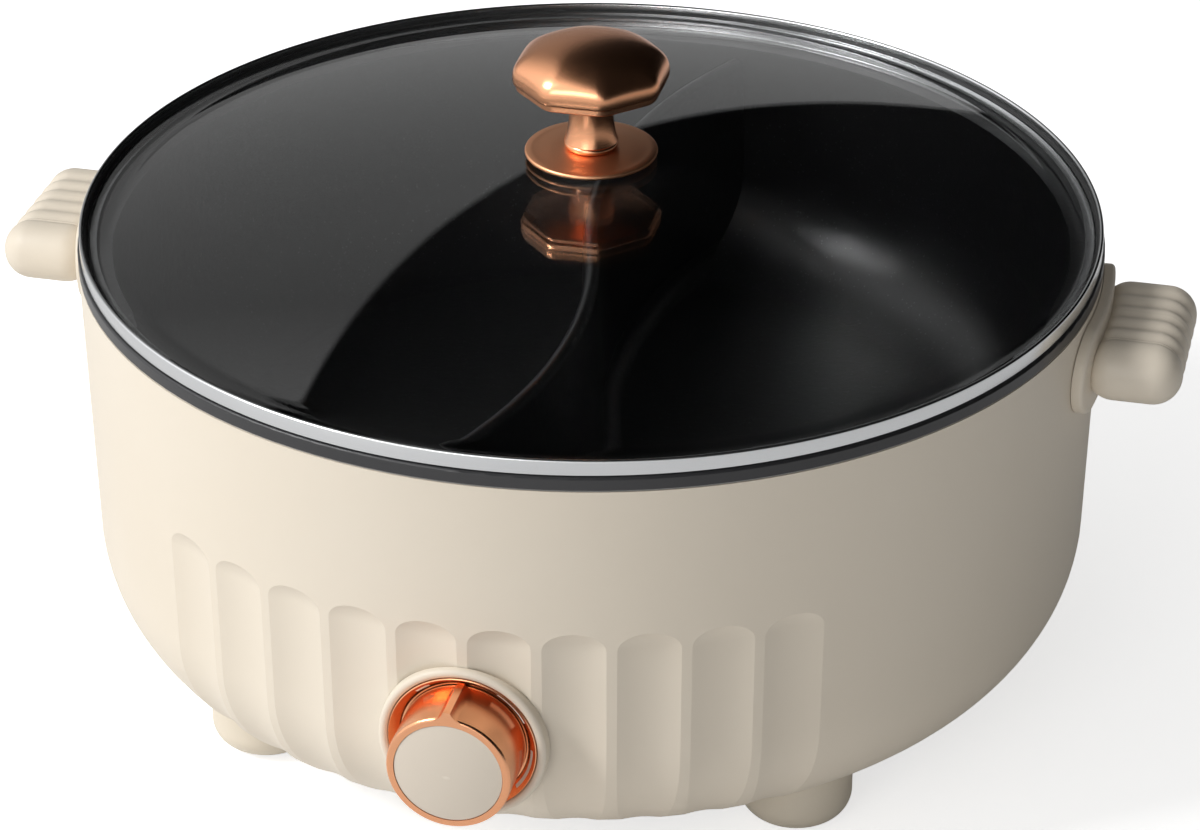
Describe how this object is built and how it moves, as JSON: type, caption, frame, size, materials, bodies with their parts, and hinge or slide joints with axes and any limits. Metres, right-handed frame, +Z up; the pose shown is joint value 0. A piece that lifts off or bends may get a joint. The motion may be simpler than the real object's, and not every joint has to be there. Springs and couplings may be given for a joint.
{
  "type": "electric hot pot",
  "caption": "Round electric hot pot with a fluted shell, a divided non-stick pot, a lift-off domed glass lid with an octagonal knob, a rotary dial and ribbed side grips.",
  "frame": {"origin": "on the table under the middle of the pot, in the plane that the feet's pads stand on", "axes": "+Z up along the pot's axis, +X to the right-hand grip seen from the dial, the dial faces -Y"},
  "size_m": [0.377, 0.3411, 0.213],
  "materials": {
    "shell_cream": "warm cream, softly glossy",
    "grip_cream": "warm cream, fine satin",
    "foot_cream": "warm cream, satin",
    "lip_dark": "dark grey, satin",
    "pot_black": "cast aluminium with black non-stick coating",
    "glass_clear": "clear tempered glass",
    "rim_steel": "polished stainless",
    "rose_gold": "rose-gold plated, satin",
    "cap_cream": "cream, glossy",
    "silicone_grey": "matt grey silicone",
    "silicone_black": "matt black silicone",
    "rubber_dark": "matt dark rubber",
    "plate_cast": "raw cast aluminium",
    "element_steel": "dull heat-stained steel",
    "shield_sheet": "plain sheet",
    "steel_plain": "zinc-plated",
    "ceramic_white": "unglazed ceramic",
    "switch_white": "moulded",
    "base_grey": "moulded, fine grain",
    "inlet_black": "moulded",
    "pin_metal": "nickel-plated"
  },
  "bodies": {
    "cooker": {"outer_shell": "shell_cream", "rim_gasket": "silicone_grey", "lip_ring": "lip_dark", "inner_pot": "pot_black", "pot_divider": "pot_black", "heat_plate": "plate_cast", "heating_element": "element_steel", "element_bushings": "ceramic_white", "heat_shield": "shield_sheet", "shield_studs": "steel_plain", "shield_nuts": "steel_plain", "shield_screws": "steel_plain", "pot_sensor": "steel_plain", "sensor_bracket": "steel_plain", "thermal_fuse": "ceramic_white", "dial_escutcheon": "shell_cream", "dial_bezel": "rose_gold", "dial_retainer": "steel_plain", "switch_body": "switch_white", "switch_nut": "steel_plain", "inlet_body": "inlet_black", "inlet_pins": "pin_metal", "inlet_screws": "steel_plain", "handle_left": "grip_cream", "handle_right": "grip_cream", "backing_left": "steel_plain", "backing_right": "steel_plain", "handle_screws": "steel_plain", "base_cover": "base_grey", "base_screws": "steel_plain", "foot_front_left": "foot_cream", "foot_front_right": "foot_cream", "foot_rear_left": "foot_cream", "foot_rear_right": "foot_cream", "foot_pads": "rubber_dark", "foot_screws": "steel_plain"},
    "dial": {"dial_knob": "rose_gold", "dial_cap": "cap_cream", "dial_shaft": "steel_plain", "dial_clip": "steel_plain"},
    "lid": {"lid_glass": "glass_clear", "lid_rim": "rim_steel", "lid_bond": "silicone_black", "lid_knob": "rose_gold", "knob_base": "rose_gold", "knob_gasket": "silicone_black", "knob_washer": "steel_plain", "knob_screw": "steel_plain"}
  },
  "joints": [
    {"name": "dial_turn", "type": "hinge", "parent": "cooker", "child": "dial", "pos_m": [0, -0.16, 0.06], "axis": [0, 1, 0], "range_deg": [-115, 115]},
    {"name": "lid_lift", "type": "slide", "parent": "cooker", "child": "lid", "axis": [0, 0, 1], "range_m": [0, 0.15]}
  ]
}
